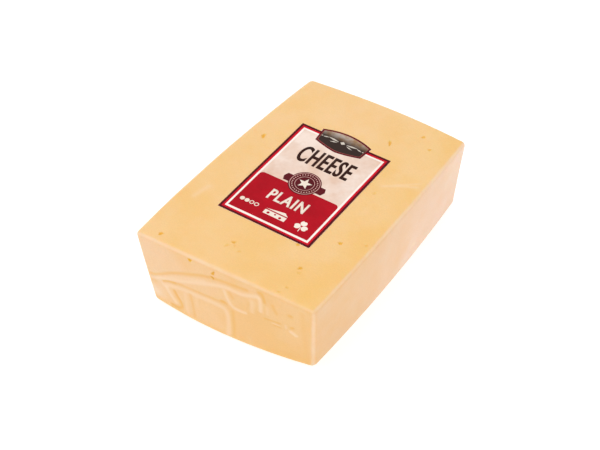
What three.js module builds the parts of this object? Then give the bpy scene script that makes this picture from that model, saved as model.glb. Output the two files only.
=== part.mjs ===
// A wire-cut block of semi-hard cheese with a die-cut paper label stuck on its top face.
// Millimetres, +Z up. X runs across the block and Y along it; the end at -Y is the old outer face of
// the big cheese that the block was cut from. The origin is under the middle of the block, on the
// flat face that it rests on.
import * as THREE from "three";
import { mergeVertices } from "three/addons/utils/BufferGeometryUtils.js";

// Block: the nominal size, and the radius that handling leaves along every edge.
const blockWidth = 100; // X
const blockLength = 150; // Y
const blockHeight = 46.5; // Z
const edgeRadius = 2.5;

// A hand-guided wire cuts nothing square. How far each corner stands off the nominal rectangle,
// as [x, y], positive away from the middle of the block, at the top face and at the resting face.
const topCorners = {
  frontLeft: [3.0, 1.5],
  frontRight: [0.6, -2.6],
  backLeft: [-2.3, -1.9],
  backRight: [0.1, -0.6],
};
const restingCorners = {
  frontLeft: [-3.7, -1.1],
  frontRight: [-2.4, -7.8],
  backLeft: [-3.7, -2.6],
  backRight: [-4.3, -0.4],
};

// The soft sides bulge between their corners: most at mid length, by these amounts at the top
// and at the resting face, and by sideSwell more at half height. Below 0, a side is hollow there.
const topBulge = { left: 2.8, right: 0.8, front: -0.4, back: 2.7 };
const restingBulge = { left: 1.4, right: 2.3, front: 4.2, back: 2.3 };
const sideSwell = 0.8;

// Label: a rectangle of coated paper with a barrel-shaped plaque that stands past its far edge.
const labelWidth = 55;
const labelLength = 77;
const labelThickness = 0.15;
const labelOffset = [-1.4, -0.2]; // from the middle of the block to the middle of the rectangle
const plaqueWidth = 30;
const plaqueOffset = -0.8; // of the plaque's middle across the label
const plaqueRise = 2.2; // of the plaque's top corners past the label's edge
const plaqueCrown = 3.2; // of its arched top past those corners

// Facets
const edgeSteps = 3; // round each half of an edge
const blockSteps = { x: 8, y: 12, z: 4 }; // along the flat of each side
const plaqueSteps = 16;

const cheese = new THREE.MeshStandardMaterial({ color: "#f5cb8b", roughness: 0.45, metalness: 0 });
const paper = new THREE.MeshStandardMaterial({ color: "#b51a2c", roughness: 0.35, metalness: 0 });

// The distance from the middle of a side of length size, at t from -1 to 1 over equal steps:
// even along the flat, then closing up round the edge so that each facet turns by the same angle.
function station(t, size, flatSteps) {
  const flatEnd = size / 2 - edgeRadius;
  const steps = flatSteps / 2 + edgeSteps;
  const step = Math.abs(t) * steps;
  if (step <= flatSteps / 2) return (Math.sign(t) * flatEnd * step) / (flatSteps / 2);
  const turned = (step - flatSteps / 2) / edgeSteps;
  return Math.sign(t) * (flatEnd + edgeRadius * Math.tan((turned * Math.PI) / 4));
}

// A point on a square-edged box, brought in to the box with rounded edges.
function rounded(point) {
  const core = new THREE.Vector3(blockWidth, blockLength, blockHeight)
    .multiplyScalar(0.5)
    .subScalar(edgeRadius);
  const inner = point.clone().clamp(core.clone().negate(), core);
  return inner.add(point.clone().sub(inner).setLength(edgeRadius));
}

// Linear mix of a value at -1 and a value at 1.
const mixed = (low, high, t) => THREE.MathUtils.lerp(low, high, (t + 1) / 2);

// The sideways move that turns the rounded box into the wire-cut block. u, v and w go from -1 to 1
// across, along and up the block.
function sideways(u, v, w) {
  const corner = (name, axis) => mixed(restingCorners[name][axis], topCorners[name][axis], w);
  const swell = sideSwell * (1 - w * w);
  const bulge = (side) => mixed(restingBulge[side], topBulge[side], w) + swell;
  const leftX = -mixed(corner("frontLeft", 0), corner("backLeft", 0), v) - bulge("left") * (1 - v * v);
  const rightX = mixed(corner("frontRight", 0), corner("backRight", 0), v) + bulge("right") * (1 - v * v);
  const frontY = -mixed(corner("frontLeft", 1), corner("frontRight", 1), u) - bulge("front") * (1 - u * u);
  const backY = mixed(corner("backLeft", 1), corner("backRight", 1), u) + bulge("back") * (1 - u * u);
  return [mixed(leftX, rightX, u), mixed(frontY, backY, v)];
}

function cheeseBlock() {
  const counts = ["x", "y", "z"].map((axis) => blockSteps[axis] + 2 * edgeSteps);
  const box = new THREE.BoxGeometry(2, 2, 2, ...counts);
  const position = box.getAttribute("position");
  const point = new THREE.Vector3();
  for (let i = 0; i < position.count; i++) {
    point.fromBufferAttribute(position, i);
    point.set(
      station(point.x, blockWidth, blockSteps.x),
      station(point.y, blockLength, blockSteps.y),
      station(point.z, blockHeight, blockSteps.z),
    );
    const p = rounded(point);
    const [dx, dy] = sideways((2 * p.x) / blockWidth, (2 * p.y) / blockLength, (2 * p.z) / blockHeight);
    position.setXYZ(i, p.x + dx, p.y + dy, p.z + blockHeight / 2);
  }
  box.deleteAttribute("normal");
  box.deleteAttribute("uv");
  const solid = mergeVertices(box, 1e-4);
  solid.computeBoundingBox();
  const middle = solid.boundingBox.getCenter(new THREE.Vector3());
  solid.translate(-middle.x, -middle.y, 0);
  solid.computeVertexNormals();
  return solid;
}

// The radius of the circle through the ends of a chord that it rises over by rise.
const arcRadius = (chord, rise) => (chord * chord) / (8 * rise) + rise / 2;

function labelSheet() {
  const halfWidth = labelWidth / 2;
  const farEdge = labelLength / 2;
  const halfPlaque = plaqueWidth / 2;
  const plaqueLeft = plaqueOffset - halfPlaque;
  const plaqueRight = plaqueOffset + halfPlaque;
  const radius = arcRadius(plaqueWidth, plaqueCrown);
  const halfAngle = Math.asin(halfPlaque / radius);
  const crownCentre = farEdge + plaqueRise + plaqueCrown - radius;
  const outline = new THREE.Shape();
  outline.moveTo(-halfWidth, -farEdge);
  outline.lineTo(halfWidth, -farEdge);
  outline.lineTo(halfWidth, farEdge);
  outline.lineTo(plaqueRight, farEdge);
  outline.absarc(plaqueOffset, crownCentre, radius, Math.PI / 2 - halfAngle, Math.PI / 2 + halfAngle, false);
  outline.lineTo(plaqueLeft, farEdge);
  outline.lineTo(-halfWidth, farEdge);
  outline.closePath();
  return new THREE.ExtrudeGeometry(outline, {
    depth: labelThickness,
    bevelEnabled: false,
    curveSegments: plaqueSteps,
  });
}

const block = new THREE.Group();

const body = new THREE.Mesh(cheeseBlock(), cheese);
body.name = "cheese_block";
block.add(body);

const label = new THREE.Mesh(labelSheet(), paper);
label.name = "label";
label.position.set(labelOffset[0], labelOffset[1], blockHeight);
block.add(label);

export default block;
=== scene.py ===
# A block of semi-hard cheese with a printed paper label on top.
# Shapes are worked out in millimetres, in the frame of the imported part, and stored in metres.
import math

import bmesh
import bpy
import numpy as np
from mathutils import Matrix, Vector, noise


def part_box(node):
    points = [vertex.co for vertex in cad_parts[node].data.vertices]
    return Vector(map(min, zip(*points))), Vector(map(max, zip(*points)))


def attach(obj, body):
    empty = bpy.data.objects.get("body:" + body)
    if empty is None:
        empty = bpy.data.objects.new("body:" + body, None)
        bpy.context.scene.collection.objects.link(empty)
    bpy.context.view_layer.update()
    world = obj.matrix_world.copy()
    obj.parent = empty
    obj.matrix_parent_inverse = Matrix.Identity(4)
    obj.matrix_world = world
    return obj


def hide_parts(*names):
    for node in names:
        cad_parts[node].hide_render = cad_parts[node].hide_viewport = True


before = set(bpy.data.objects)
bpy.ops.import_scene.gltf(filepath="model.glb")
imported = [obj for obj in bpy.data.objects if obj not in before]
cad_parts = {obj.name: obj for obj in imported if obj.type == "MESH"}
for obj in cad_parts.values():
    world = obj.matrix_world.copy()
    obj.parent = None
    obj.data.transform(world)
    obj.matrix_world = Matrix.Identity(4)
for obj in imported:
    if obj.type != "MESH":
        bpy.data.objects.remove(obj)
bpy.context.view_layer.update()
mm = 0.001
blockLow, blockHigh = (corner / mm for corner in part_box("cheese_block"))
labelLow, labelHigh = (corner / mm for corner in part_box("label"))
print("frame loaded:", ", ".join(sorted(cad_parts)))


# Camera: a long lens, looking down over the front end and the right side

cameraSetup = {
    "turn": 33.9,  # degrees round from the front end towards the right side
    "rise": 44.15,  # degrees above the floor
    "distance": 734.5,  # mm from the aim point
    "lens": 85,
    "sensorWidth": 36,
    "nearClip": 10,  # mm
    "aimAhead": -7.5,  # mm from the middle of the block, along it
}


def addCamera():
    camera = bpy.data.objects.new("camera", bpy.data.cameras.new("camera"))
    camera.data.lens = cameraSetup["lens"]
    camera.data.sensor_width = cameraSetup["sensorWidth"]
    camera.data.clip_start = cameraSetup["nearClip"] * mm
    turn, rise = math.radians(cameraSetup["turn"]), math.radians(cameraSetup["rise"])
    away = Vector((math.sin(turn) * math.cos(rise), -math.cos(turn) * math.cos(rise), math.sin(rise)))
    aim = (blockLow + blockHigh) / 2 + Vector((0, cameraSetup["aimAhead"], 0))
    camera.location = (aim + away * cameraSetup["distance"]) * mm
    camera.rotation_euler = (-away).to_track_quat("-Z", "Y").to_euler()
    bpy.context.scene.collection.objects.link(camera)
    bpy.context.scene.camera = camera


addCamera()
print("camera placed")


# Node and colour helpers

# sRGB 0-255 to a linear colour
def tone(red, green, blue):
    linear = [((c / 255 + 0.055) / 1.055) ** 2.4 if c > 10 else c / 255 / 12.92 for c in (red, green, blue)]
    return (*linear, 1)


def newMaterial(name):
    material = bpy.data.materials.new(name)
    material.use_nodes = True
    return material, material.node_tree, material.node_tree.nodes["Principled BSDF"]


def addNode(tree, kind, inputs, **settings):
    node = tree.nodes.new(kind)
    for key, value in settings.items():
        setattr(node, key, value)
    for key, value in inputs.items():
        if isinstance(value, bpy.types.NodeSocket):
            tree.links.new(value, node.inputs[key])
        else:
            node.inputs[key].default_value = value
    return node


def noiseOn(tree, coordinates, scale, detail, roughness=0.5, stretch=(1, 1, 1)):
    mapping = addNode(tree, "ShaderNodeMapping", {"Vector": coordinates, "Scale": stretch})
    inputs = {"Vector": mapping.outputs[0], "Scale": scale, "Detail": detail, "Roughness": roughness}
    return addNode(tree, "ShaderNodeTexNoise", inputs).outputs["Fac"]


def ranged(tree, value, fromLow, fromHigh, toLow, toHigh):
    inputs = {"Value": value, "From Min": fromLow, "From Max": fromHigh, "To Min": toLow, "To Max": toHigh}
    return addNode(tree, "ShaderNodeMapRange", inputs).outputs[0]


def mixColours(tree, factor, first, second, blend="MIX"):
    inputs = {0: factor, 6: first, 7: second}
    return addNode(tree, "ShaderNodeMix", inputs, data_type="RGBA", blend_type=blend).outputs[2]


def multiplied(tree, first, second):
    return addNode(tree, "ShaderNodeMath", {0: first, 1: second}, operation="MULTIPLY").outputs[0]


def bumpOn(tree, height, distance, strength, **below):
    inputs = {"Height": height, "Distance": distance * mm, "Strength": strength, **below}
    return addNode(tree, "ShaderNodeBump", inputs).outputs[0]


def attributeValue(tree, name):
    return addNode(tree, "ShaderNodeAttribute", {}, attribute_name=name).outputs["Fac"]


def objectCoordinates(tree):
    return addNode(tree, "ShaderNodeTexCoord", {}).outputs["Object"]


def addPiece(name, bm, material, slot, *replaced):
    mesh = bpy.data.meshes.new(name)
    bm.to_mesh(mesh)
    bm.free()
    mesh.materials.append(material)
    piece = bpy.data.objects.new(name, mesh)
    bpy.context.scene.collection.objects.link(piece)
    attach(piece, "root")
    if replaced:
        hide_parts(*replaced)
    return piece


# Cheese block: a rounded box, moved sideways to the wire-cut block, then given its relief

block = {
    "width": 100,
    "length": 150,
    "edgeRadius": 2.5,
    "gridStep": 1.0,  # on the flat of each face
    "edgeSteps": 4,  # round each half of an edge
    # how far each corner stands off the nominal rectangle, positive away from the middle
    "topCorners": {
        "frontLeft": (3.0, 1.5), "frontRight": (0.6, -2.6),
        "backLeft": (-2.3, -1.9), "backRight": (0.1, -0.6),
    },
    "restingCorners": {
        "frontLeft": (-3.7, -1.1), "frontRight": (-2.4, -7.8),
        "backLeft": (-3.7, -2.6), "backRight": (-4.3, -0.4),
    },
    "topBulge": {"left": 2.8, "right": 0.8, "front": -0.4, "back": 2.7},
    "restingBulge": {"left": 1.4, "right": 2.3, "front": 4.2, "back": 2.3},
    "sideSwell": 0.8,
}
blockSize = Vector((block["width"], block["length"], blockHigh.z - blockLow.z))


def mixed(low, high, t):
    return low + (high - low) * (t + 1) / 2


def eased(t):
    t = np.clip(t, 0, 1)
    return t * t * (3 - 2 * t)


def flatSteps(size):
    return 2 * round((size / 2 - block["edgeRadius"]) / block["gridStep"])


# distance from the middle at t, -1 to 1: even on the flat, then by equal turns round the edge
def station(t, size):
    flatEnd = size / 2 - block["edgeRadius"]
    half = flatSteps(size) / 2
    step = abs(t) * (half + block["edgeSteps"])
    if step <= half:
        return math.copysign(flatEnd * step / half, t)
    turned = (step - half) / block["edgeSteps"]
    return math.copysign(flatEnd + block["edgeRadius"] * math.tan(turned * math.pi / 4), t)


def rounded(point):
    core = blockSize / 2 - Vector([block["edgeRadius"]] * 3)
    inner = Vector([max(-limit, min(limit, value)) for value, limit in zip(point, core)])
    return inner + (point - inner).normalized() * block["edgeRadius"]


# the move that turns the rounded box into the cut block; u, v, w run from -1 to 1
def sideways(u, v, w):
    def corner(name, axis):
        return mixed(block["restingCorners"][name][axis], block["topCorners"][name][axis], w)

    def bulge(side):
        swell = block["sideSwell"] * (1 - w * w)
        return mixed(block["restingBulge"][side], block["topBulge"][side], w) + swell

    left = -mixed(corner("frontLeft", 0), corner("backLeft", 0), v) - bulge("left") * (1 - v * v)
    right = mixed(corner("frontRight", 0), corner("backRight", 0), v) + bulge("right") * (1 - v * v)
    front = -mixed(corner("frontLeft", 1), corner("frontRight", 1), u) - bulge("front") * (1 - u * u)
    back = mixed(corner("backLeft", 1), corner("backRight", 1), u) + bulge("back") * (1 - u * u)
    return Vector((mixed(left, right, u), mixed(front, back, v), 0))


def cutBlock():
    bm = bmesh.new()
    bmesh.ops.create_cube(bm, size=2)
    for axis, size in enumerate(blockSize):
        along = [e for e in bm.edges if abs(e.verts[0].co[axis] - e.verts[1].co[axis]) > 1e-6]
        cuts = flatSteps(size) + 2 * block["edgeSteps"] - 1
        bmesh.ops.subdivide_edges(bm, edges=along, cuts=cuts, use_grid_fill=True)
    for vertex in bm.verts:
        point = rounded(Vector([station(t, size) for t, size in zip(vertex.co, blockSize)]))
        vertex.co = point + sideways(*(2 * point[i] / blockSize[i] for i in range(3)))
    middle = [(min(v.co[i] for v in bm.verts) + max(v.co[i] for v in bm.verts)) / 2 for i in range(2)]
    bmesh.ops.translate(bm, verts=bm.verts, vec=(-middle[0], -middle[1], blockSize.z / 2))
    return bm


# Relief. On the top face places are (x, y), on the ends (x, z), on the sides (y, z).

relief = {
    "waveHeight": 0.22,  # slow unevenness of every face but the resting one
    "waveLength": 34,
    "rippleHeight": 0.05,
    "rippleLength": 9,
    "rippleShift": (7, 3, 5),  # so that the ripples don't line up with the waves
    # imprints of folded wrapping on the front end: path, strength (below 0 for a groove), width
    "folds": [
        # the broad fold that rises from the left side and runs level under the top edge
        ([(-46, 17.6), (-37.5, 20.8), (-30, 24.4), (-20, 28.8),
          (-9, 33.4), (2, 36.8), (12, 37.2), (22, 41)], 0.34, 1.4),
        ([(-41, 20), (-33, 25), (-26, 28.8), (-17, 32.4), (-9, 35.2)], 0.16, 1.0),
        ([(-46, 19.6), (-40, 22.3), (-30, 29.2), (-20, 33.9),
          (-10, 37.9), (0, 39.8), (16, 41.2)], -0.36, 1.1),
        # the fold under it, which turns down at the middle
        ([(-38, 18.8), (-33, 21.6), (-25, 23.7), (-9, 24.9), (-3, 25.2), (2.5, 26.8)], -0.28, 0.9),
        ([(-38, 18.6), (-33, 21.4), (-27, 22.9)], -0.35, 0.9),
        ([(-2, 26.2), (4, 25.4)], -0.35, 1.2),
        ([(-38.5, 16.6), (-27, 20.6), (-12, 22.2), (0, 22), (3, 18), (3.3, 11), (2.6, 1)], 0.28, 1.6),
        ([(6, 24), (6.2, 16), (6.2, 9), (5.8, 2)], -0.32, 1.2),
        # short folds between the two
        ([(0.8, 35.5), (2.4, 31.5), (4.4, 27.6), (7, 25.2), (12, 25), (15, 25.8)], 0.34, 1.1),
        ([(2.6, 35.2), (5, 33.4), (6.8, 30)], -0.26, 1.0),
        ([(15.4, 35), (14.6, 29.5)], -0.16, 0.8),
        ([(17.2, 37), (17, 26)], 0.2, 1.6),
        ([(21.4, 41.2), (21.9, 36), (21.9, 29)], 0.34, 1.3),
        ([(19.2, 42.4), (22, 43), (23.5, 40.6), (24.4, 36.5)], -0.5, 1.0),
        ([(25.6, 37), (25.6, 29)], 0.14, 1.2),
        ([(28.4, 40), (29.2, 36.5), (31.4, 32.4)], -0.3, 1.2),
        ([(22.5, 26.8), (28.5, 27.3), (34, 27.7)], -0.42, 0.6),
        ([(27.4, 24.8), (34, 24.6)], -0.36, 0.5),
        ([(27, 26), (33.5, 26)], 0.2, 0.5),
        ([(35.4, 29.5), (35.8, 24.5)], 0.2, 0.8),
        ([(37, 26.6), (40.8, 28.6)], -0.55, 0.8),
        ([(36.6, 25.3), (39.4, 24), (42.4, 22)], 0.38, 1.2),
        ([(36, 35.8), (40.6, 36.4)], -0.42, 1.1),
        # short folds at the lower left
        ([(-35.5, 18), (-32.6, 12.5), (-28, 7)], 0.36, 1.3),
        ([(-30.4, 18), (-27.8, 13), (-26, 10), (-25.6, 7), (-28.4, 4.8), (-34, 4.8)], -0.5, 1.1),
        ([(-22.6, 20), (-22.4, 12), (-21.8, 4)], 0.18, 1.4),
        ([(-19.6, 22), (-18.4, 14), (-17.4, 3)], -0.28, 1.1),
        ([(-15.6, 22), (-15.4, 12)], 0.12, 1.1),
        # beside the right edge
        ([(44.8, 44), (45.4, 25), (45.6, 2)], -0.16, 2.0),
    ],
    "foldHeight": 0.5,  # of a fold of strength 1
    "foldFade": 1.8,  # from each end of a fold
    # small eyes: face, place, length, width, lean in degrees, depth, share of the painted shade in its
    # hollow
    "eyes": [
        ("top", (-40.6, 18.3), 3.8, 1.8, 105, 0.8, 0.9),
        ("top", (18.1, 50.4), 4.2, 1.4, 117, 0.8, 0.8),
        ("top", (30.4, 64.3), 2.3, 1.6, 60, 0.6, 0.75),
        ("top", (38.2, 57.2), 1.9, 1.5, 40, 0.5, 0.6),
        ("top", (-40.2, -70.4), 2.5, 1.8, 70, 0.7, 0.9),
        ("top", (-6.8, -55.4), 2.2, 1.6, 30, 0.7, 0.75),
        ("top", (-5.0, -57.2), 1.6, 0.7, 130, 0.3, 0.3),
        ("top", (-8.3, -59.0), 3.2, 1.1, 60, 0.3, 0.4),
        ("top", (-0.9, -59.2), 1.9, 1.1, 40, 0.4, 0.45),
        ("top", (36.9, -27.1), 2.2, 1.8, 15, 0.7, 0.9),
        ("top", (48.4, -21.3), 1.9, 1.2, 60, 0.4, 0.4),
        ("top", (30.1, -52.0), 2.1, 1.6, 50, 0.7, 0.9),
        ("top", (31.2, -55.0), 1.8, 1.2, 50, 0.3, 0.4),
        ("top", (31.9, -65.8), 1.6, 1.1, 10, 0.4, 0.55),
        ("top", (30.2, -70.4), 1.6, 1.1, 30, 0.3, 0.4),
        ("top", (31.9, 12.6), 2.2, 1.5, 80, 0.3, 0.3),
        ("top", (20.2, -39.4), 1.8, 1.5, 0, 0.5, 1.0),
        ("front", (-18.9, 43.9), 2.2, 1.7, 0, 0.5, 1.4),
        ("front", (-5.3, 42.2), 3.0, 1.5, 62, 0.7, 0.9),
        ("front", (-5.6, 39.2), 2.6, 1.4, 150, 0.5, 0.6),
        ("left", (31, 24), 3.4, 2.0, 35, 1.0, 0.8),
        ("left", (-12, 33), 2.4, 1.9, 80, 0.9, 0.8),
        ("left", (-41, 14), 3.0, 1.7, 10, 0.8, 0.7),
        ("left", (54, 38), 1.8, 1.4, 0, 0.6, 0.6),
        ("back", (-22, 19), 2.8, 2.1, 50, 1.0, 0.8),
        ("back", (14, 33), 3.6, 1.8, 15, 0.9, 0.8),
        ("back", (33, 12), 2.0, 1.6, 75, 0.7, 0.7),
    ],
    # pale marks: face, path, height, width, paleness
    "marks": [
        ("top", [(30.5, 18.2), (39, 24), (49.5, 29.6)], -0.05, 0.9, 0.36),
        ("top", [(36, 23), (42, 27.4), (49, 33)], 0.03, 0.7, 0.3),
        ("top", [(-43.6, -42), (-42.2, -35), (-40.6, -27)], 0.02, 1.4, 0.3),
        ("top", [(31.5, 66), (35, 63)], 0.02, 0.5, 0.3),
        ("right", [(18, 14.2), (22.5, 12.2), (27, 11)], 0.08, 1.9, 0.75),
        ("right", [(52, 29), (58, 26)], 0.03, 1.4, 0.4),
    ],
    "markFade": 3,
    "eyeLobes": ((3, 0.14), (5, 0.09)),  # lobes round an eye's rim, and their share of its radius
    "eyeReach": 1.25,  # where an eye's hollow begins, in its own radii
    "eyeShadeSpread": (0.65, 1.35),  # where its painted shade is full, and where it ends
    "eyeGrids": (2.2, 1.6),  # the mesh is made finer inside each of these
    # how squarely a point has to face a face's own way to be on it, for each kind of relief
    "facing": {"fineGrid": 0.8, "eyeGrid": 0.55, "mark": 0.55, "eye": 0.35, "fold": 0.3},
    "restingFade": (0.2, 0.8),  # the relief ends between these, as the surface turns to face down
}
faceAxes = {
    "top": (0, 1), "bottom": (0, 1),
    "front": (0, 2), "back": (0, 2), "left": (1, 2), "right": (1, 2),
}
faceNormals = {
    "top": (0, 0, 1), "bottom": (0, 0, -1),
    "front": (0, -1, 0), "back": (0, 1, 0), "left": (-1, 0, 0), "right": (1, 0, 0),
}


def surfaceWave(x, y, z):
    slow = noise.noise(Vector((x, y, z)) / relief["waveLength"])
    quick = noise.noise(Vector((x, y, z)) / relief["rippleLength"] + Vector(relief["rippleShift"]))
    return relief["waveHeight"] * slow + relief["rippleHeight"] * quick


# a Catmull-Rom curve through the points
def smoothPath(points, perStretch=6):
    p = np.array([points[0], *points, points[-1]], float)
    curve = []
    for i in range(1, len(p) - 2):
        for t in np.arange(perStretch) / perStretch:
            lean = (p[i + 1] - p[i - 1]) / 2, (p[i + 2] - p[i]) / 2
            a, b = p[i], p[i + 1]
            curve.append(
                (2 * t**3 - 3 * t**2 + 1) * a + (t**3 - 2 * t**2 + t) * lean[0]
                + (3 * t**2 - 2 * t**3) * b + (t**3 - t**2) * lean[1]
            )
    return np.array([*curve, p[-1]])


# distance of each place from the path, and how far along it the nearest point is, with its length
def nearPath(places, points):
    path = smoothPath(points)
    best, along = np.full(len(places), 1e9), np.zeros(len(places))
    done = 0
    for a, b in zip(path[:-1], path[1:]):
        length = np.linalg.norm(b - a)
        t = np.clip((places - a) @ (b - a) / length**2, 0, 1)
        distance = np.linalg.norm(places - a - t[:, None] * (b - a), axis=1)
        closer = distance < best
        best[closer], along[closer] = distance[closer], (done + t * length)[closer]
        done += length
    return best, along, done


# 1 along the middle of a path, down to 0 at its sides and its ends
def ridge(places, path, width, fade):
    away, along, length = nearPath(places, path)
    return np.exp(-((away / width) ** 2)) * eased(along / fade) * eased((length - along) / fade)


# how squarely each point faces a face's own way, from -1 to 1
def facing(face, normals):
    return normals @ np.array(faceNormals[face])


def onFace(face, normals, kind):
    return facing(face, normals) > relief["facing"][kind]


# 0 at the middle of an eye and 1 at its rim, on an uneven outline
def eyeRadii(places, eye):
    at, length, width, lean = eye[1:5]
    turn = math.radians(lean)
    offset = places - np.array(at)
    x = offset @ np.array([math.cos(turn), math.sin(turn)]) / (length / 2)
    y = offset @ np.array([-math.sin(turn), math.cos(turn)]) / (width / 2)
    angle = np.arctan2(y, x)
    rim = 1
    for (lobes, share), start in zip(relief["eyeLobes"], at):
        rim = rim + share * np.sin(lobes * angle + start)
    return np.hypot(x, y) / rim


# splits the edges whose two ends are both near
def refine(bm, near):
    bm.verts.index_update()
    edges = [e for e in bm.edges if near[e.verts[0].index] and near[e.verts[1].index]]
    bmesh.ops.subdivide_edges(bm, edges=edges, cuts=1, use_grid_fill=True)
    bm.normal_update()


def pointsOf(bm):
    return np.array([v.co for v in bm.verts]), np.array([v.normal for v in bm.verts])


def refineForRelief(bm):
    bm.normal_update()
    points, normals = pointsOf(bm)
    refine(bm, onFace("front", normals, "fineGrid"))
    for reach in relief["eyeGrids"]:
        points, normals = pointsOf(bm)
        near = np.zeros(len(points), bool)
        for eye in relief["eyes"]:
            face = eye[0]
            near |= onFace(face, normals, "eyeGrid") & (eyeRadii(points[:, faceAxes[face]], eye) < reach)
        refine(bm, near)


# moves the surface along its normals and returns what the finish needs to know about each point
def shapeRelief(bm):
    points, normals = pointsOf(bm)
    height = np.array([surfaceWave(*point) for point in points])
    fold, eyeShade, pale = (np.zeros(len(points)) for _ in range(3))
    here = onFace("front", normals, "fold")
    for path, strength, width in relief["folds"]:
        fold[here] += strength * ridge(points[here][:, faceAxes["front"]], path, width, relief["foldFade"])
    height += fold * relief["foldHeight"]
    for face, path, rise, width, paleness in relief["marks"]:
        here = onFace(face, normals, "mark")
        mark = ridge(points[here][:, faceAxes[face]], path, width, relief["markFade"])
        height[here] += rise * mark
        pale[here] += paleness * mark
    full, none = relief["eyeShadeSpread"]
    for eye in relief["eyes"]:
        face, depth, share = eye[0], eye[5], eye[6]
        here = onFace(face, normals, "eye")
        radii = eyeRadii(points[here][:, faceAxes[face]], eye)
        height[here] -= depth * eased(relief["eyeReach"] - radii)
        eyeShade[here] = np.maximum(eyeShade[here], share * eased((none - radii) / (none - full)))
    start, end = relief["restingFade"]
    height *= 1 - eased((-normals[:, 2] - start) / (end - start))
    finishValues = {"fold": fold, "eyeShade": eyeShade, "pale": pale, "edge": edgeSheenAndDryness(points, normals)}
    paste = pasteAndReflectionTones(points, normals)
    for vertex, place in zip(bm.verts, points + normals * height[:, None]):
        vertex.co = place
    return finishValues, paste


cheeseFinish = {
    # the paste is deepest at the front right, and paler and pinker on the sides and to the back, where
    # painted reflection of the white surroundings lies over the paste's own tone;
    # tones at the lower left, lower right, upper left and upper right of each face, seen from outside
    "paste": {
        "top": (tone(244, 199, 131), tone(244, 198, 127), tone(243, 200, 140), tone(243, 199, 128)),
        "front": (tone(240, 196, 140), tone(239, 190, 120), tone(242, 200, 155), tone(240, 191, 126)),
        "right": (tone(236, 188, 128), tone(243, 206, 180), tone(236, 191, 138), tone(241, 202, 170)),
        "back": (tone(240, 200, 160), tone(240, 200, 160), tone(241, 202, 150), tone(241, 202, 150)),
        "left": (tone(240, 200, 156), tone(240, 200, 156), tone(241, 202, 146), tone(241, 202, 146)),
        "bottom": (tone(240, 196, 138), tone(240, 196, 138), tone(240, 196, 138), tone(240, 196, 138)),
    },
    # places that stand out: face, place, reach, tone, share. The pale ones on the right side and at the
    # back of the top are painted reflection of the white floor and surroundings
    "patches": [
        ("top", (47, -66), 11, tone(243, 193, 104), 0.75),
        ("top", (46, -20), 9, tone(243, 197, 120), 0.4),
        ("top", (-2, 60), 18, tone(246, 209, 168), 0.35),
        ("right", (22, 11), 22, tone(249, 214, 194), 0.5),
        ("right", (58, 8), 16, tone(249, 212, 190), 0.4),
        ("right", (38, 4), 14, tone(249, 212, 186), 0.35),
        ("right", (-6, 12), 14, tone(247, 208, 174), 0.35),
        ("right", (-64, 22), 14, tone(236, 182, 114), 0.45),
        ("right", (66, 46), 16, tone(250, 222, 204), 0.6),
        ("front", (-36, 36), 13, tone(244, 205, 166), 0.4),
        ("front", (-44, 16), 3.5, tone(237, 180, 98), 0.8),
        ("front", (-43, 8), 6, tone(249, 220, 194), 0.65),
        ("front", (40, 32), 14, tone(238, 190, 114), 0.5),
        ("front", (-14, 43), 10, tone(242, 196, 136), 0.4),
        ("front", (-6, 6), 12, tone(246, 203, 152), 0.5),
    ],
    "warm": tone(243, 189, 105),  # a deeper orange, for the drifts and along the lowest edge near the floor
    "warmShare": 0.55,
    "warmRise": (2, 8),  # mm above the resting face, from fully warm to not at all
    "warmTurn": (0.1, 0.6),  # it ends between these, as the surface turns to face right
    # the pale tone is also a painted highlight, on the fold ridges and the edges
    "pale": tone(251, 218, 184),
    # painted shade in the grooves of the folds
    "groove": tone(239, 182, 94),
    # painted shade in the hollows of the eyes
    "eye": tone(239, 184, 58),
    # the fine patterns: scale, detail and roughness of their noise
    "clouds": (38, 4, 0.6),  # drifts towards the warm and the pale tone
    "handling": (110, 3, 0.6),  # breaks up the painted highlight and dryness along the edges
    "gloss": (90, 3, 0.6),
    "grain": (1400, 2, 0.6),
    "pores": (1100, 3, 0.6),
    "streaks": (420, 2, 0.6),  # upright, left by the wire
    "streakStretch": (1, 1, 0.05),
    "warmClouds": 0.3,
    "paleClouds": 0.2,
    "grainDepth": (0.97, 1.03),
    "sheenAndDryEdges": (0.42, 0.7),
    "ridgeHighlight": 0.85,
    "grooveShade": 0.95,
    "fullFold": 0.5,  # the strength of a fold that takes its painted highlight, or in a groove its painted shade, in full
    "roughness": (0.36, 0.54),
    "subsurface": 0.2,
    "scatter": (1.0, 0.5, 0.25),  # red, green and blue
    "scatterDepth": 2,  # mm
    "ior": 1.45,
    "poreDepth": 0.05,  # mm
    "streakDepth": 0.15,
    # handling wears the edges pale
    # the rounded edges are painted pale: mostly a painted highlight, strongest on the front and right
    # edges, and partly the paste drying there
    "edge": {
        "flat": 0.99,  # a point that faces this squarely is on a face, and isn't paled
        "round": 0.75,  # and from here down it is on an edge's rounding
        "turn": 0.4,  # how soon an edge counts as a front or right one
        "topTurn": 0.3,  # and as a top one
        "farShare": 0.5,  # of the pale edge, at the back and left edges
        "cornerLoss": 0.45,  # of the pale edge, at the right end of the top front edge
        "lossFrom": 5,  # mm to the right of the middle
        "lossTo": 45,
    },
}
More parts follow.
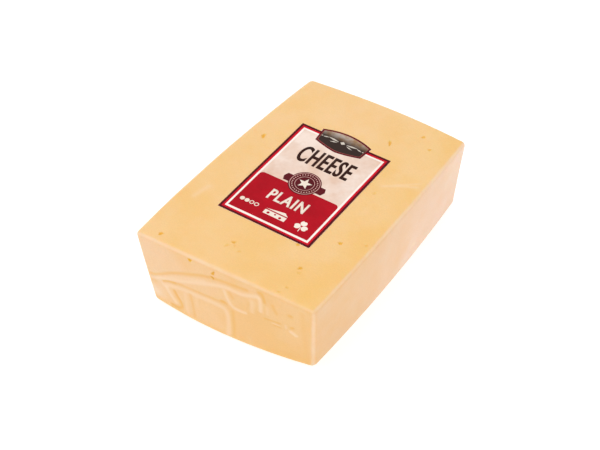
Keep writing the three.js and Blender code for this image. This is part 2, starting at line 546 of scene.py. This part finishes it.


# the paste's tone at each point, with painted reflection of the white surroundings on the sides and the
# back: mixed over each face, and from face to face round the edges
def pasteAndReflectionTones(points, normals):
    low, high = points.min(axis=0), points.max(axis=0)
    share = (points - low) / (high - low)
    total, weights = np.zeros((len(points), 4)), np.zeros((len(points), 1))
    for face, tones in cheeseFinish["paste"].items():
        across, up = (share[:, axis : axis + 1] for axis in faceAxes[face])
        if face in ("back", "left"):
            across = 1 - across
        lowLeft, lowRight, upLeft, upRight = (np.array(t) for t in tones)
        mix = (1 - up) * ((1 - across) * lowLeft + across * lowRight)
        mix += up * ((1 - across) * upLeft + across * upRight)
        weight = np.clip(facing(face, normals), 0, 1)[:, None] ** 3
        total += weight * mix
        weights += weight
    paste = total / weights
    for face, middle, reach, patchTone, share in cheeseFinish["patches"]:
        away = np.linalg.norm(points[:, faceAxes[face]] - np.array(middle), axis=1)[:, None]
        spread = eased(facing(face, normals))[:, None] * np.exp(-((away / reach) ** 2))
        paste += share * spread * (np.array(patchTone) - paste)
    start, end = cheeseFinish["warmRise"]
    full, none = cheeseFinish["warmTurn"]
    nearFloor = eased((end - points[:, 2:]) / (end - start))
    warmth = cheeseFinish["warmShare"] * nearFloor * eased((none - normals[:, :1]) / (none - full))
    return paste + warmth * (np.array(cheeseFinish["warm"]) - paste)


# 1 where an edge is palest, with painted highlight and dry paste, 0 on the faces
def edgeSheenAndDryness(points, normals):
    edge = cheeseFinish["edge"]
    squarely = np.abs(normals).max(axis=1)
    worn = eased((edge["flat"] - squarely) / (edge["flat"] - edge["round"]))
    near = eased((normals[:, 0] - normals[:, 1]) / edge["turn"])
    topFront = eased(-normals[:, 1] / edge["turn"]) * eased(normals[:, 2] / edge["topTurn"])
    along = eased((points[:, 0] - edge["lossFrom"]) / (edge["lossTo"] - edge["lossFrom"]))
    share = edge["farShare"] + (1 - edge["farShare"]) * near
    return worn * share * (1 - edge["cornerLoss"] * along * topFront)


def cheeseMaterial():
    finish = cheeseFinish
    material, tree, shader = newMaterial("cheese")
    spots = objectCoordinates(tree)
    fold, eyeShade, pale, edge = (attributeValue(tree, name) for name in ("fold", "eyeShade", "pale", "edge"))
    colour = addNode(tree, "ShaderNodeAttribute", {}, attribute_name="paste").outputs["Color"]
    clouds = noiseOn(tree, spots, *finish["clouds"])
    warmClouds = ranged(tree, clouds, 0.4, 0.7, 0, finish["warmClouds"])
    colour = mixColours(tree, warmClouds, colour, finish["warm"])
    paleClouds = ranged(tree, clouds, 0.6, 0.3, 0, finish["paleClouds"])
    colour = mixColours(tree, paleClouds, colour, finish["pale"])
    grain = ranged(tree, noiseOn(tree, spots, *finish["grain"]), 0.3, 0.7, *finish["grainDepth"])
    colour = mixColours(tree, 1.0, colour, grain, "MULTIPLY")
    # painted highlight, with some dry paste, along the rounded edges
    edgeBreakupMask = ranged(tree, noiseOn(tree, spots, *finish["handling"]), 0.35, 0.6, *finish["sheenAndDryEdges"])
    colour = mixColours(tree, multiplied(tree, edge, edgeBreakupMask), colour, finish["pale"])
    # painted highlight on the fold ridges, and painted shade in their grooves
    ridgeLight = ranged(tree, fold, 0.02, finish["fullFold"], 0, finish["ridgeHighlight"])
    colour = mixColours(tree, ridgeLight, colour, finish["pale"])
    grooveShading = ranged(tree, fold, -0.02, -finish["fullFold"], 0, finish["grooveShade"])
    colour = mixColours(tree, grooveShading, colour, finish["groove"])
    colour = mixColours(tree, pale, colour, finish["pale"])
    # painted shade in the eyes' hollows
    colour = mixColours(tree, eyeShade, colour, finish["eye"])
    tree.links.new(colour, shader.inputs["Base Color"])
    gloss = ranged(tree, noiseOn(tree, spots, *finish["gloss"]), 0.3, 0.7, *finish["roughness"])
    tree.links.new(gloss, shader.inputs["Roughness"])
    shader.inputs["Subsurface Weight"].default_value = finish["subsurface"]
    shader.inputs["Subsurface Radius"].default_value = finish["scatter"]
    shader.inputs["Subsurface Scale"].default_value = finish["scatterDepth"] * mm
    shader.inputs["IOR"].default_value = finish["ior"]
    pores = bumpOn(tree, noiseOn(tree, spots, *finish["pores"]), finish["poreDepth"], 0.5)
    streaks = noiseOn(tree, spots, *finish["streaks"], finish["streakStretch"])
    tree.links.new(bumpOn(tree, streaks, finish["streakDepth"], 0.4, Normal=pores), shader.inputs["Normal"])
    return material


def makeCheese():
    bm = cutBlock()
    refineForRelief(bm)
    finishValues, paste = shapeRelief(bm)
    bmesh.ops.scale(bm, verts=bm.verts, vec=(mm, mm, mm))
    for face in bm.faces:
        face.smooth = True
    piece = addPiece("cheese", bm, cheeseMaterial(), "cheese", "cheese_block")
    for name, values in finishValues.items():
        attribute = piece.data.attributes.new(name, "FLOAT", "POINT")
        attribute.data.foreach_set("value", values.astype(np.float32))
    tones = piece.data.color_attributes.new("paste", "FLOAT_COLOR", "POINT")
    tones.data.foreach_set("color", paste.astype(np.float32).ravel())
    print("cheese made:", len(piece.data.polygons), "faces")


makeCheese()


# Label: a sheet of coated paper, and printing in thin layers of ink that follow it

label = {
    "length": 77,  # of the rectangle, without the plaque's crown
    "inkThickness": 0.02,
    "sliceStep": 4,  # the layers are cut into squares this wide, so that they can follow the cheese
    "trim": 0.02,  # bare paper outside the rim
    "rimWidth": 1.35,
    "redLineWidth": 1.15,
    "whiteLineWidth": 1.2,
    "fieldTop": 33.4,
    "fieldBottom": 3.9,
    "fieldCorner": 2.4,
    "panelLap": 4,  # of the cream panel under the red field
    "plaque": {
        "middle": 26.7, "halfWidth": 15, "draft": 1.0,  # each lower corner stands in by the draft
        "top": 79.2, "bottom": 69.7,
        "crown": 3.2, "belly": 3.2, "bellyShape": 1.4,  # a shape of 2 is a parabola, as the crown is
        "steps": 16,
    },
    "plaqueRim": 0.95,
    "plaqueLine": 0.3,
    # thickened across and upwards by these amounts on each side of a stroke
    "word": {
        "text": "CHEESE", "box": (11.6, 50.6, 43.6, 63.6),
        "across": 0.4, "upwards": 0.3, "spacing": 1.15,
    },
    "secondWord": {
        "text": "PLAIN", "box": (16.6, 18.1, 39.0, 25.9),
        "across": 0.28, "upwards": 0.2, "spacing": 1.17,
    },
    "seal": {
        "centre": (27.5, 37.6), "radius": 8.7,
        "rings": ((0.93, 0.32), (0.6, 0.25)),  # share of the radius, and width of the line
        "beads": 30, "beadReach": 0.76, "beadRadius": 0.36,  # a reach is a share of the radius too
        "starReach": 0.46, "starInner": 0.42,
    },
    "ribbon": {"halfLength": 11.4, "halfWidth": 2.7, "point": 1.0, "drop": 0.4},
    "dots": {"first": (7.2, 11.4), "pitch": 2.9, "radius": 1.3, "line": 0.45},
    # the heights and the peak's place are shares of the size, and so are the places of the eyes
    "wedge": {
        "low": (21.6, 8.3), "size": (12.8, 5.7), "faceTop": 0.52, "rindBottom": 0.66, "peak": 0.8,
        "eyes": ((0.2, 0.24, 0.8), (0.5, 0.34, 0.55), (0.76, 0.2, 0.75)),
    },
    "clover": {
        "centre": (43.6, 10.7), "leafReach": 2.25, "leafRadius": 1.75, "leafTurns": (90, 200, 340),
        "notchDepth": 0.3, "notchWidth": 0.35,
        "stem": ((-0.2, -0.5), (0, -3.9), (0.45, -3.9), (0.2, -0.5)),  # corners, from the centre
    },
    # the right half, which the left mirrors; a leaf is its place, length, width and lean in degrees
    "flourish": {
        "height": 74.8, "lozenge": (1.5, 1.2), "leafTaper": 0.55,
        "leaves": (((5.6, 0.2), 6.6, 1.1, 6), ((4.8, -1.5), 4.2, 0.7, -16), ((10.2, -0.1), 3.4, 0.8, -14)),
        "bead": ((12.6, -0.3), 0.4),
    },
}
labelWidth = labelHigh.x - labelLow.x
# two tones for the paper and for each ink, which it drifts between
paperTones = (tone(255, 248, 242), tone(250, 238, 228))
inkTones = {
    "rim": (tone(96, 6, 22), tone(82, 6, 20)),
    "redLine": (tone(214, 4, 34), tone(202, 4, 32)),
    "cream": (tone(245, 225, 212), tone(231, 199, 178)),
    "field": (tone(186, 2, 28), tone(170, 2, 24)),
    "seal": (tone(98, 18, 28), tone(86, 14, 24)),
    "sealLine": (tone(228, 184, 174), tone(214, 166, 156)),
    "plaqueLine": (tone(160, 84, 76), tone(142, 70, 62)),
    "brown": (tone(46, 16, 6), tone(56, 24, 12)),
    "white": (tone(249, 238, 225), tone(241, 226, 208)),
    "silver": (tone(216, 206, 194), tone(190, 178, 164)),
}
# the fine patterns are the scale, detail and roughness of their noise
inkFinish = {
    "clouds": (75, 3, 0.6),
    "mottle": (420, 3, 0.65),
    "mottleDepth": (0.97, 1.03),
    "gloss": (600, 2),
    "roughness": (0.35, 0.46),
    "specular": 0.1,
    "fibre": (2200, 2, 0.6),
    "fibreDepth": 0.01,  # mm
}
enamelFinish = {
    "dark": tone(46, 28, 20),
    # a painted reflection, mottled, over the dark print towards the crown
    "paintedSheen": (tone(164, 128, 92), tone(192, 176, 164)),
    "paintedSheenRise": (-4, 1.2),  # mm past the plaque's top corners, from none to full, of the painted reflection
    "mottle": (210, 3, 0.6),
    "gloss": (500, 2),
    "roughness": (0.28, 0.38),
    "specular": 0.2,
}


# printed paper: an even ink with faint clouds in it, and the paper's fibre
def inkMaterial(name, tones):
    material, tree, shader = newMaterial(name)
    spots = objectCoordinates(tree)
    clouds = ranged(tree, noiseOn(tree, spots, *inkFinish["clouds"]), 0.35, 0.65, 0, 1)
    mottle = ranged(tree, noiseOn(tree, spots, *inkFinish["mottle"]), 0.3, 0.7, *inkFinish["mottleDepth"])
    printed = mixColours(tree, 1.0, mixColours(tree, clouds, *tones), mottle, "MULTIPLY")
    tree.links.new(printed, shader.inputs["Base Color"])
    gloss = ranged(tree, noiseOn(tree, spots, *inkFinish["gloss"]), 0.3, 0.7, *inkFinish["roughness"])
    tree.links.new(gloss, shader.inputs["Roughness"])
    shader.inputs["Specular IOR Level"].default_value = inkFinish["specular"]
    fibre = bumpOn(tree, noiseOn(tree, spots, *inkFinish["fibre"]), inkFinish["fibreDepth"], 0.5)
    tree.links.new(fibre, shader.inputs["Normal"])
    return material


# dark enamel print, lighter and mottled towards the plaque's crown with a painted reflection
def enamelMaterial():
    material, tree, shader = newMaterial("plaque enamel")
    spots = objectCoordinates(tree)
    height = addNode(tree, "ShaderNodeSeparateXYZ", {0: spots}).outputs["Y"]
    top = labelLow.y + label["plaque"]["top"]
    low, high = ((top + rise) * mm for rise in enamelFinish["paintedSheenRise"])
    mottle = ranged(tree, noiseOn(tree, spots, *enamelFinish["mottle"]), 0.38, 0.62, 0, 1)
    paintedSheen = mixColours(tree, mottle, *enamelFinish["paintedSheen"])
    colour = mixColours(tree, ranged(tree, height, low, high, 0, 1), enamelFinish["dark"], paintedSheen)
    tree.links.new(colour, shader.inputs["Base Color"])
    gloss = ranged(tree, noiseOn(tree, spots, *enamelFinish["gloss"]), 0.3, 0.7, *enamelFinish["roughness"])
    tree.links.new(gloss, shader.inputs["Roughness"])
    shader.inputs["Specular IOR Level"].default_value = enamelFinish["specular"]
    return material


# a place on the label, from its lower left corner, in the part's frame
def onLabel(x, y):
    return Vector((labelLow.x + x, labelLow.y + y, 0))


def sheetOf(corners):
    bm = bmesh.new()
    bm.faces.new([bm.verts.new((*corner, 0)) for corner in corners])
    return bm


def rectangleSheet(left, bottom, right, top):
    return sheetOf([(left, bottom), (right, bottom), (right, top), (left, top)])


def roundCorners(bm, verts, radius):
    bmesh.ops.bevel(bm, geom=verts, offset=radius, affect="VERTICES", segments=8, profile=0.5, material=-1)


# keeps the band of that width round a sheet, or what is inside it
def insetSheet(bm, width, keepBand):
    bm.normal_update()
    band = bmesh.ops.inset_region(
        bm, faces=bm.faces[:], thickness=width, use_boundary=True, use_even_offset=True
    )["faces"]
    gone = [f for f in bm.faces if (f in band) != keepBand]
    bmesh.ops.delete(bm, geom=gone, context="FACES")
    return bm


# a band round the label's rectangle
def frameSheet(inset, width):
    sheet = rectangleSheet(inset, inset, labelWidth - inset, label["length"] - inset)
    return insetSheet(sheet, width, True)


def discSheet(x, y, radius, segments):
    bm = bmesh.new()
    bmesh.ops.create_circle(
        bm, cap_ends=True, segments=segments, radius=radius, matrix=Matrix.Translation((x, y, 0))
    )
    return bm


def ringSheet(x, y, radius, width, segments=64):
    return insetSheet(discSheet(x, y, radius, segments), width, True)


# several sheets as one
def joined(sheets):
    whole = bmesh.new()
    for sheet in sheets:
        mesh = bpy.data.meshes.new("part")
        sheet.to_mesh(mesh)
        sheet.free()
        whole.from_mesh(mesh)
        bpy.data.meshes.remove(mesh)
    return whole


# so that a flat sheet can follow an uneven face
def cutIntoSquares(bm):
    for axis in range(2):
        values = [v.co[axis] for v in bm.verts]
        step = label["sliceStep"]
        place = math.ceil(min(values) / step) * step
        while place < max(values):
            at, normal = [0, 0, 0], [0, 0, 0]
            at[axis] = place
            normal[axis] = 1
            geometry = bm.verts[:] + bm.edges[:] + bm.faces[:]
            bmesh.ops.bisect_plane(bm, geom=geometry, plane_co=at, plane_no=normal, dist=1e-5)
            place += step


# moves a layer to the label and lets it follow the cheese
def layOnLabel(bm, base):
    for vertex in bm.verts:
        place = onLabel(vertex.co.x, vertex.co.y)
        wave = surfaceWave(place.x, place.y, blockHigh.z)
        vertex.co = Vector((place.x, place.y, base + vertex.co.z + wave)) * mm


def printLayer(name, bm, level, material):
    cutIntoSquares(bm)
    top = bmesh.ops.extrude_face_region(bm, geom=bm.faces[:])["geom"]
    raised = [g for g in top if isinstance(g, bmesh.types.BMVert)]
    bmesh.ops.translate(bm, verts=raised, vec=(0, 0, label["inkThickness"]))
    bmesh.ops.recalc_face_normals(bm, faces=bm.faces[:])
    layOnLabel(bm, labelHigh.z + level * label["inkThickness"])
    addPiece(name, bm, material, "label")


def makePaper():
    bm = bmesh.new()
    bm.from_mesh(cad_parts["label"].data)
    bmesh.ops.scale(bm, verts=bm.verts, vec=(1 / mm, 1 / mm, 1 / mm))
    bmesh.ops.remove_doubles(bm, verts=bm.verts[:], dist=1e-3)
    bmesh.ops.translate(bm, verts=bm.verts, vec=-labelLow)
    cutIntoSquares(bm)
    layOnLabel(bm, labelLow.z)
    addPiece("label_paper", bm, inkMaterial("label paper", paperTones), "label", "label")


# from the paper's edge to the panels inside the three lines
def panelInset():
    return label["rimWidth"] + label["redLineWidth"] + label["whiteLineWidth"]


# the red field, with its top corners rounded
def fieldSheet():
    inset = panelInset()
    bm = rectangleSheet(inset, label["fieldBottom"], labelWidth - inset, label["fieldTop"])
    upper = [v for v in bm.verts if v.co.y > (label["fieldBottom"] + label["fieldTop"]) / 2]
    roundCorners(bm, upper, label["fieldCorner"])
    return bm


def plaqueSheet(inset=0.0):
    shape = label["plaque"]
    middle, half = shape["middle"], shape["halfWidth"]
    low = half - shape["draft"]
    bm = sheetOf([
        (middle - low, shape["bottom"]), (middle + low, shape["bottom"]),
        (middle + half, shape["top"]), (middle - half, shape["top"]),
    ])
    level = [e for e in bm.edges if abs(e.verts[0].co.y - e.verts[1].co.y) < 1e-6]
    bmesh.ops.subdivide_edges(bm, edges=level, cuts=shape["steps"] - 1)
    for vertex in bm.verts:
        upper = vertex.co.y > (shape["top"] + shape["bottom"]) / 2
        reach = (vertex.co.x - middle) / (half if upper else low)
        if upper:
            vertex.co.y += shape["crown"] * (1 - reach * reach)
        else:
            vertex.co.y -= shape["belly"] * (1 - abs(reach) ** shape["bellyShape"])
    return insetSheet(bm, inset, False) if inset else bm


# a word in the stock typeface, fitted to its box (left, bottom, right, top). Its strokes are thickened
# while it is squeezed sideways, so that they can gain more across than upwards.
def wordSheet(text, box, across, upwards, spacing):
    font = bpy.data.curves.new("word", "FONT")
    font.body = text
    font.resolution_u = 6
    font.space_character = spacing
    holder = bpy.data.objects.new("word", font)
    bpy.context.scene.collection.objects.link(holder)
    curve = holder.to_curve(bpy.context.evaluated_depsgraph_get()).copy()
    bpy.data.objects.remove(holder)
    points = [p.co for s in curve.splines for p in s.bezier_points]
    low = Vector([min(p[i] for p in points) for i in range(2)])
    high = Vector([max(p[i] for p in points) for i in range(2)])
    left, bottom, right, top = box
    squeeze = across / upwards
    width, height = (right - left - 2 * across) / squeeze, top - bottom - 2 * upwards
    fit = Matrix.Diagonal((width / (high.x - low.x), height / (high.y - low.y), 1, 1))
    curve.transform(fit @ Matrix.Translation((-low.x, -low.y, 0)))
    curve.dimensions = "2D"
    curve.fill_mode = "BOTH"
    curve.offset = upwards
    holder = bpy.data.objects.new("word", curve)
    bpy.context.scene.collection.objects.link(holder)
    bpy.context.view_layer.update()
    bm = bmesh.new()
    bm.from_mesh(holder.evaluated_get(bpy.context.evaluated_depsgraph_get()).to_mesh())
    bpy.data.objects.remove(holder)
    bmesh.ops.remove_doubles(bm, verts=bm.verts[:], dist=1e-4)
    bmesh.ops.scale(bm, verts=bm.verts, vec=(squeeze, 1, 1))
    bmesh.ops.translate(bm, verts=bm.verts, vec=(left + across, bottom + upwards, 0))
    return bm


# a five-point star, whose inner corners lie at that share of its radius
def starSheet(x, y, radius, innerShare):
    bm = discSheet(x, y, radius, 10)
    for i, vertex in enumerate(sorted(bm.verts, key=lambda v: math.atan2(v.co.y - y, v.co.x - x))):
        angle = math.radians(90 + 36 * i)
        reach = radius if i % 2 == 0 else radius * innerShare
        vertex.co = (x + reach * math.cos(angle), y + reach * math.sin(angle), 0)
    return bm


def ribbonSheet():
    shape = label["ribbon"]
    length, width, point = shape["halfLength"], shape["halfWidth"], shape["point"]
    x, y = label["seal"]["centre"]
    y -= shape["drop"]
    return sheetOf([
        (x - length, y - width), (x + length, y - width), (x + length + point, y),
        (x + length, y + width), (x - length, y + width), (x - length - point, y),
    ])


def beadRing(x, y, radius, beads, beadRadius):
    sheets = []
    for i in range(beads):
        turn = 2 * math.pi * i / beads
        sheets.append(discSheet(x + radius * math.cos(turn), y + radius * math.sin(turn), beadRadius, 10))
    return joined(sheets)


# two rings with a ring of beads between them
def sealLines():
    shape = label["seal"]
    (x, y), radius = shape["centre"], shape["radius"]
    sheets = [ringSheet(x, y, radius * reach, width) for reach, width in shape["rings"]]
    sheets.append(beadRing(x, y, radius * shape["beadReach"], shape["beads"], shape["beadRadius"]))
    return joined(sheets)


def dotSheets():
    shape = label["dots"]
    x, y = shape["first"]
    filled = [discSheet(x + i * shape["pitch"], y, shape["radius"], 28) for i in (0, 1)]
    hollow = [ringSheet(x + i * shape["pitch"], y, shape["radius"], shape["line"], 28) for i in (2, 3)]
    return joined(filled + hollow)


# a wedge of cheese: its cut face, and its sloping top above a gap
def wedgeSheets():
    shape = label["wedge"]
    (x, y), (width, height) = shape["low"], shape["size"]
    face = rectangleSheet(x, y, x + width, y + height * shape["faceTop"])
    rind = y + height * shape["rindBottom"]
    slope = sheetOf([(x, rind), (x + width, rind), (x + width * shape["peak"], y + height)])
    return joined([face, slope])


def wedgeEyes():
    shape = label["wedge"]
    (x, y), (width, height) = shape["low"], shape["size"]
    return joined([discSheet(x + width * u, y + height * v, radius, 20) for u, v, radius in shape["eyes"]])


def placed(bm, x, y, lean):
    place = Matrix.Translation((x, y, 0)) @ Matrix.Rotation(math.radians(lean), 4, "Z")
    bmesh.ops.transform(bm, matrix=place, verts=bm.verts)
    return bm


# a clover: a stem and three notched leaves
def cloverSheets():
    shape = label["clover"]
    x, y = shape["centre"]
    sheets = [sheetOf([(x + across, y + up) for across, up in shape["stem"]])]
    for turn in shape["leafTurns"]:
        leaf = discSheet(0, 0, shape["leafRadius"], 36)
        for vertex in leaf.verts:
            outward = math.atan2(vertex.co.y, vertex.co.x)
            vertex.co *= 1 - shape["notchDepth"] * math.exp(-((outward / shape["notchWidth"]) ** 2))
        bmesh.ops.translate(leaf, verts=leaf.verts, vec=(shape["leafReach"], 0, 0))
        sheets.append(placed(leaf, x, y, turn))
    return joined(sheets)


def leafSheet(length, width, taper):
    bm = discSheet(0, 0, 1, 20)
    for vertex in bm.verts:
        vertex.co.y *= 1 - taper * abs(vertex.co.x)
    bmesh.ops.scale(bm, verts=bm.verts, vec=(length / 2, width / 2, 1))
    return bm


# a plain ornament across the plaque: a lozenge between two sprays of leaves
def flourishSheets():
    shape = label["flourish"]
    x, y = label["plaque"]["middle"], shape["height"]
    across, up = shape["lozenge"]
    sheets = [sheetOf([(x - across, y), (x, y - up), (x + across, y), (x, y + up)])]
    for side in (-1, 1):
        for (across, up), length, width, lean in shape["leaves"]:
            leaf = leafSheet(length, width, shape["leafTaper"])
            sheets.append(placed(leaf, x + side * across, y + up, side * lean))
        (across, up), radius = shape["bead"]
        sheets.append(discSheet(x + side * across, y + up, radius, 12))
    return joined(sheets)


def makePrinting():
    inks = {name: inkMaterial("ink " + name, tones) for name, tones in inkTones.items()}
    outer = label["trim"]
    printLayer("label_rim", frameSheet(outer, label["rimWidth"]), 0, inks["rim"])
    outer += label["rimWidth"]
    printLayer("label_red_line", frameSheet(outer, label["redLineWidth"]), 0, inks["redLine"])
    inset = panelInset()
    low = label["fieldTop"] - label["panelLap"]
    panel = rectangleSheet(inset, low, labelWidth - inset, label["length"] - inset)
    printLayer("label_cream_panel", panel, 0, inks["cream"])
    printLayer("label_red_field", fieldSheet(), 1, inks["field"])
    printLayer("label_word", wordSheet(**label["word"]), 1, inks["brown"])
    printLayer("label_second_word", wordSheet(**label["secondWord"]), 2, inks["white"])
    printLayer("label_ribbon", ribbonSheet(), 2, inks["seal"])
    seal = label["seal"]
    printLayer("label_seal", discSheet(*seal["centre"], seal["radius"], 72), 3, inks["seal"])
    printLayer("label_seal_rings", sealLines(), 4, inks["sealLine"])
    star = starSheet(*seal["centre"], seal["radius"] * seal["starReach"], seal["starInner"])
    printLayer("label_star", star, 4, inks["white"])
    printLayer("label_dots", dotSheets(), 2, inks["white"])
    printLayer("label_wedge", wedgeSheets(), 2, inks["white"])
    printLayer("label_wedge_eyes", wedgeEyes(), 3, inks["field"])
    printLayer("label_clover", cloverSheets(), 2, inks["white"])
    printLayer("label_plaque", plaqueSheet(), 1, inks["rim"])
    printLayer("label_plaque_line", plaqueSheet(label["plaqueRim"]), 2, inks["plaqueLine"])
    face = plaqueSheet(label["plaqueRim"] + label["plaqueLine"])
    printLayer("label_plaque_face", face, 3, enamelMaterial())
    printLayer("label_flourish", flourishSheets(), 4, inks["silver"])


makePaper()
print("label paper laid")
makePrinting()
print("label printed")


# Studio, in metres: a white floor under an even white sky, and one broad soft lamp

studio = {
    "floorSize": 40.0,
    "floorTone": tone(180, 180, 180),
    "floorRoughness": 0.8,
    "floorGlow": 0.7,  # the floor is lit from below, as a light table is
    "skyStrength": 0.8,
    "lampPlace": (-0.35, -0.25, 1.75),  # it looks at the block from there
    "lampSize": 1.0,
    "lampPower": 8.3,  # watts
}


def addFloor():
    bm = bmesh.new()
    bmesh.ops.create_grid(bm, x_segments=1, y_segments=1, size=studio["floorSize"] / 2)
    mesh = bpy.data.meshes.new("floor")
    bm.to_mesh(mesh)
    bm.free()
    material, tree, shader = newMaterial("floor")
    shader.inputs["Base Color"].default_value = studio["floorTone"]
    shader.inputs["Roughness"].default_value = studio["floorRoughness"]
    shader.inputs["Emission Color"].default_value = (1, 1, 1, 1)
    shader.inputs["Emission Strength"].default_value = studio["floorGlow"]
    mesh.materials.append(material)
    floor = bpy.data.objects.new("floor", mesh)
    bpy.context.scene.collection.objects.link(floor)


def addLights():
    world = bpy.data.worlds.new("studio")
    world.use_nodes = True
    world.node_tree.nodes["Background"].inputs["Color"].default_value = (1, 1, 1, 1)
    world.node_tree.nodes["Background"].inputs["Strength"].default_value = studio["skyStrength"]
    bpy.context.scene.world = world
    lamp = bpy.data.objects.new("lamp", bpy.data.lights.new("lamp", "AREA"))
    lamp.data.size = studio["lampSize"]
    lamp.data.energy = studio["lampPower"]
    lamp.location = studio["lampPlace"]
    lamp.rotation_euler = (-lamp.location).to_track_quat("-Z", "Y").to_euler()
    bpy.context.scene.collection.objects.link(lamp)
    bpy.context.scene.view_settings.view_transform = "Standard"


addFloor()
addLights()
print("studio lit")
